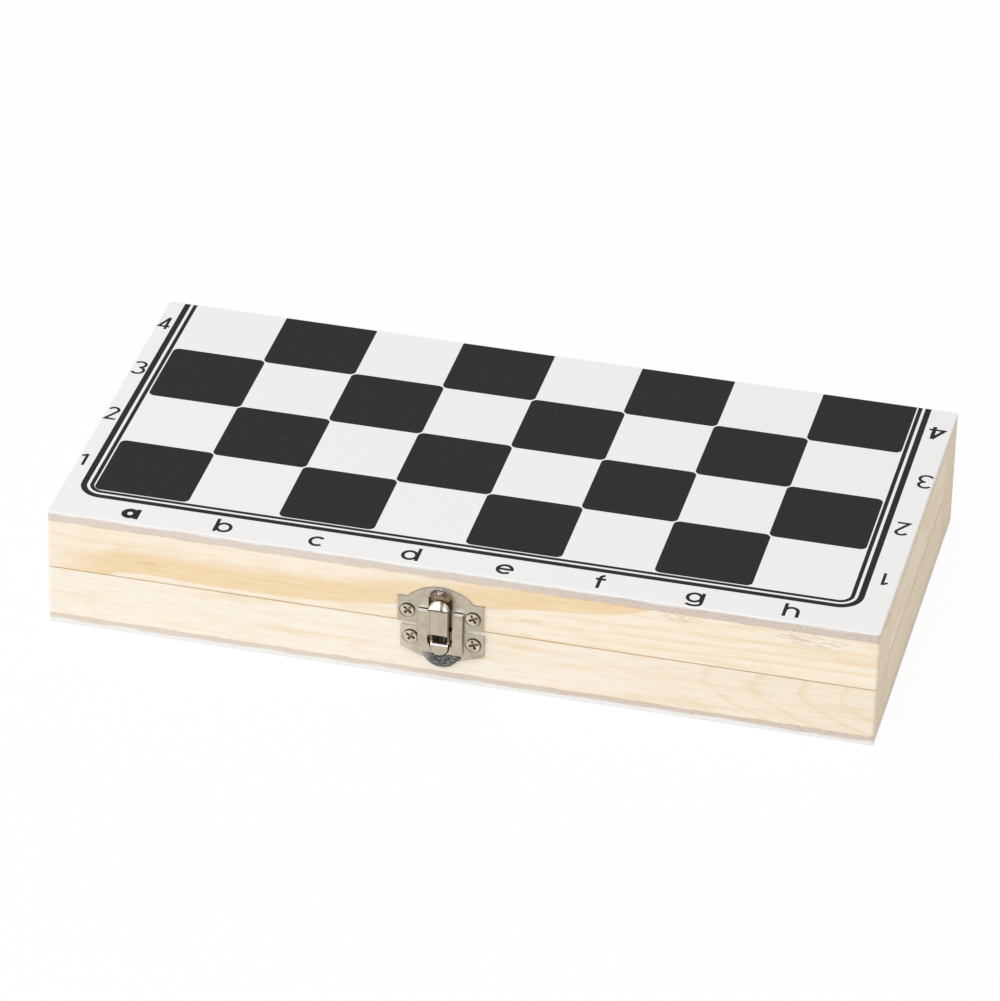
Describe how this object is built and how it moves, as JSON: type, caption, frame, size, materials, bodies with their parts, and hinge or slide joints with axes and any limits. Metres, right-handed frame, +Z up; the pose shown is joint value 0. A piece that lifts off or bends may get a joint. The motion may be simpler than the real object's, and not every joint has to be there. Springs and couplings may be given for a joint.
{
  "type": "folding chess box",
  "caption": "Flat hinged pine box with half a chequered board printed on each outer face and a small sprung lever latch at the front.",
  "frame": {"origin": "centre of the bottom face of the closed box", "axes": "+X along the length with file a at -X, -Y is the latch side and +Y the hinge side, +Z up"},
  "size_m": [0.24, 0.1311, 0.037],
  "materials": {
    "pine": "sanded bare pine",
    "white_panel": "thin board painted white",
    "ink": "screen-printed charcoal ink",
    "latch_nickel": "nickel-plated pressed steel, satin",
    "hinge_nickel": "nickel-plated pressed steel, satin",
    "screw_nickel": "nickel-plated pressed steel, satin",
    "pin_steel": "drawn wire",
    "spring_steel": "spring wire"
  },
  "bodies": {
    "base": {"bottom_panel": "white_panel", "bottom_board_print": "ink", "lower_front_wall": "pine", "lower_back_wall": "pine", "lower_left_wall": "pine", "lower_right_wall": "pine", "latch_plate": "latch_nickel", "latch_pin": "pin_steel", "latch_spring": "spring_steel", "latch_plate_screws": "screw_nickel", "left_hinge_lower_leaf": "hinge_nickel", "right_hinge_lower_leaf": "hinge_nickel", "left_hinge_pin": "pin_steel", "right_hinge_pin": "pin_steel", "lower_hinge_screws": "screw_nickel"},
    "lid": {"top_panel": "white_panel", "top_board_print": "ink", "upper_front_wall": "pine", "upper_back_wall": "pine", "upper_left_wall": "pine", "upper_right_wall": "pine", "strike_plate": "latch_nickel", "strike_plate_screws": "screw_nickel", "left_hinge_upper_leaf": "hinge_nickel", "right_hinge_upper_leaf": "hinge_nickel", "upper_hinge_screws": "screw_nickel"},
    "latch_lever": {"latch_lever": "latch_nickel"}
  },
  "joints": [
    {"name": "lid_hinge", "type": "hinge", "parent": "base", "child": "lid", "pos_m": [0, 0.06215, 0.0185], "axis": [-1, 0, 0], "range_deg": [0, 180]},
    {"name": "latch_press", "type": "hinge", "parent": "base", "child": "latch_lever", "pos_m": [-0.0044, -0.0635, 0.0172], "axis": [1, 0, 0], "range_deg": [0, 16], "stiffness_Nm_per_rad": 0.02, "springref_deg": -20.05, "deforming": ["latch_spring"]}
  ]
}
